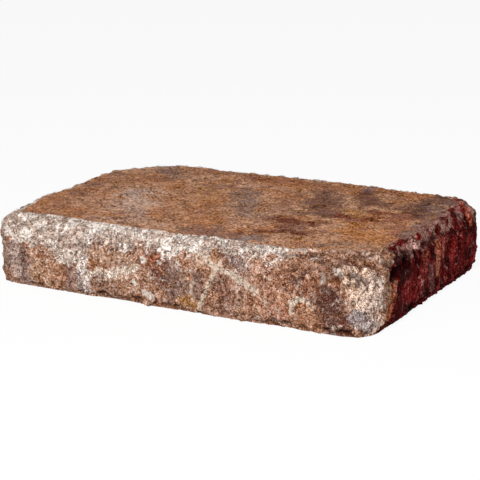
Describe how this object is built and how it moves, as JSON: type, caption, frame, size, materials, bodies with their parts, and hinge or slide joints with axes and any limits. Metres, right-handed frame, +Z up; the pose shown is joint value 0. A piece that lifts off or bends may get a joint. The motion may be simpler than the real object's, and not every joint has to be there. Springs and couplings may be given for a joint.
{
  "type": "concrete paver",
  "caption": "Tumbled rectangular concrete paver in a brown and grey blend, with rounded worn arrises, a knocked-off corner and small spalls.",
  "frame": {"origin": "middle of the bed face, the face that the paver lies on", "axes": "+X along the length, +Y across the width, away from the long side that the picture shows in front, +Z up through the wear face"},
  "size_m": [0.2668, 0.1778, 0.0444],
  "materials": {
    "concrete": "rough cast concrete with exposed fine aggregate on its sides and a worn, finer wear face"
  },
  "bodies": {
    "root": {"paver": "concrete"}
  },
  "joints": []
}
